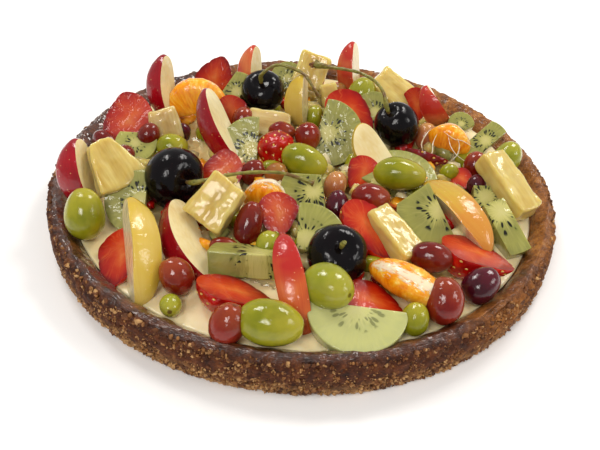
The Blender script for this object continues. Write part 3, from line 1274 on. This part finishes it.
def over_bed(x, y, scale=1.0):
    """Whether a point lies over the bed, by counting the outline's sides that it looks across."""
    x, y = x / scale, y / scale
    within = False
    last = BED_OUTLINE[-1]
    for corner in BED_OUTLINE:
        if (corner[1] > y) != (last[1] > y):
            crossing = corner[0] + (y - corner[1]) * (last[0] - corner[0]) / (last[1] - corner[1])
            if x < crossing:
                within = not within
        last = corner
    return within


def make_bed():
    """The wet ground under the fruit: small scraps set close together, under clear jelly."""
    for name, base, height, look in (
        ("fruit_ground", 16.2, 1.9, cream_look("vlaai_ground")),
        ("fruit_jelly", 16.4, 3.0, gel_look("vlaai_jelly")),
    ):
        bm = bmesh.new()
        rows = []
        for i in range(BED_STEPS + 1):
            row = []
            for j in range(BED_STEPS + 1):
                x = -BED_REACH + 2 * BED_REACH * i / BED_STEPS
                y = -BED_REACH + 2 * BED_REACH * j / BED_STEPS
                edge = 0.0
                if over_bed(x, y):
                    edge = 0.55
                    if over_bed(x, y, 0.96):
                        edge = 1.0
                rise = height * edge * (0.75 + 0.5 * noise.noise(Vector((x / 9.0, y / 9.0, base))))
                row.append(bm.verts.new((x, y, base - 1.5 * (edge == 0.0) + rise)))
            rows.append(row)
        for i in range(BED_STEPS):
            for j in range(BED_STEPS):
                four = (rows[i][j], rows[i + 1][j], rows[i + 1][j + 1], rows[i][j + 1])
                if any(v.co.z > base - 1.0 for v in four):
                    bm.faces.new(four)
        bmesh.ops.delete(bm, geom=[v for v in bm.verts if not v.link_faces], context="VERTS")
        obj = placed(name, bm, Matrix.Identity(4))
        finished(obj, "fruit_bed", [look], "fruit_bed")


def make_filling():
    """Small scraps of fruit that fill the gaps low in the heap."""
    draw = random.Random(5)
    spots = []
    kinds = ("kiwi", "strawberry", "pineapple", "mandarin", "yellow_apple", "green_grape")
    meshes = {kind: bmesh.new() for kind in kinds}
    for _ in range(4000):
        x, y = draw.uniform(-108, 98), draw.uniform(-84, 102)
        if not over_bed(x, y, 0.95):
            continue
        if any((x - other[0]) ** 2 + (y - other[1]) ** 2 < 72 for other in spots):
            continue
        spots.append((x, y))
        kind = draw.choice(kinds)
        dome = max(0.0, 1.0 - (x * x + y * y) / 110.0**2)
        size = draw.uniform(5.0, 7.0)
        height = 19.0 + 3.6 * dome + draw.uniform(-1.0, 0.6)
        lean = Vector((draw.uniform(-1, 1), draw.uniform(-1, 1), draw.uniform(-0.5, 0.5)))
        part = ball(14, 10) if kind == "green_grape" else bmesh.new()
        if kind != "green_grape":
            bmesh.ops.create_cube(part, size=1.5)
            bmesh.ops.bevel(part, geom=part.edges[:], offset=0.22, segments=2, affect="EDGES")
        spread = Vector((size, size * draw.uniform(0.6, 0.9), size * draw.uniform(0.5, 0.8)))
        for v in part.verts:
            v.co = sized(v.co, *spread)
        roughen(part, 1.3, 5.0, len(spots))
        bmesh.ops.transform(part, matrix=turned((x, y, height), lean, (0, 0, 1)), verts=part.verts)
        scrap = bpy.data.meshes.new("scrap")
        part.to_mesh(scrap)
        part.free()
        meshes[kind].from_mesh(scrap)
        bpy.data.meshes.remove(scrap)
    looks = {
        "kiwi": kiwi_look("vlaai_fill_kiwi", 400.0, 8.0, 1, seeds=0.0),
        "strawberry": strawberry_skin("vlaai_fill_strawberry"),
        "pineapple": pineapple_look("vlaai_fill_pineapple", 3),
        "mandarin": mandarin_look("vlaai_fill_mandarin"),
        "yellow_apple": apple_flesh("vlaai_fill_apple", 2),
        "green_grape": grape_look("vlaai_fill_grape", *GRAPES["green_grape"][:3], 4000.0, 3),
    }
    for kind, bm in meshes.items():
        obj = placed("fill_" + kind, bm, Matrix.Identity(4))
        finished(obj, kind, [looks[kind]], "fruit_bed")


# The room.


def make_room():
    bm = bmesh.new()
    bmesh.ops.create_grid(bm, x_segments=1, y_segments=1, size=2500.0)
    floor = placed("floor", bm, Matrix.Translation((0, 0, -0.05)))
    s = Shader("floor_white", 0.7)
    s.set("Base Color", s.ramp(s.grain(6.0), (0.3, (250, 249, 248)), (0.7, (253, 252, 251))))
    floor.data.materials.append(s.made)
    world = bpy.data.worlds.new("studio")
    bpy.context.scene.world = world
    world.use_nodes = True
    sky = world.node_tree.nodes["Background"]
    sky.inputs[0].default_value = (1.0, 0.985, 0.965, 1.0)
    sky.inputs[1].default_value = 0.46
    daylight = (1.0, 0.97, 0.935)
    for name, place, size, power, colour in (
        ("window", (-0.45, 0.5, 1.0), 0.3, 4.5, daylight),
        ("back", (0.5, 0.6, 0.95), 0.34, 5.2, daylight),
        ("front", (-0.3, -0.9, 1.0), 0.42, 7.4, daylight),
        ("side", (1.0, -0.25, 0.7), 0.4, 3.5, (1.0, 0.98, 0.95)),
    ):
        lamp = bpy.data.lights.new(name, "AREA")
        lamp.size = size
        lamp.energy = power
        lamp.color = colour
        obj = bpy.data.objects.new(name, lamp)
        bpy.context.scene.collection.objects.link(obj)
        obj.location = place
        obj.rotation_euler = (-Vector(place)).to_track_quat("-Z", "Y").to_euler()


def make_camera():
    """Looks down at the tart from in front, turned a little."""
    height = math.radians(38.6)
    away = 0.435
    target = Vector((-0.0004, -0.0133, 0))
    back = Vector((0, -math.cos(height), math.sin(height)))
    right = Vector((1, 0, 0))
    up = right.cross(-back)
    roll = 0.060
    across = right * math.cos(roll) + up * math.sin(roll)
    upward = up * math.cos(roll) - right * math.sin(roll)
    pose = Matrix((across, upward, back)).transposed().to_4x4()
    pose.translation = target + back * away
    data = bpy.data.cameras.new("camera")
    data.lens = 50.0
    data.sensor_width = 36.0
    data.clip_start = 0.01
    camera = bpy.data.objects.new("camera", data)
    bpy.context.scene.collection.objects.link(camera)
    camera.matrix_world = pose
    bpy.context.scene.camera = camera


bpy.context.scene.view_settings.view_transform = "Standard"
make_camera()
make_room()
make_crust()
make_crumbs()
make_cream()
make_bed()
make_filling()
make_fruit()
make_stems()
make_strands()
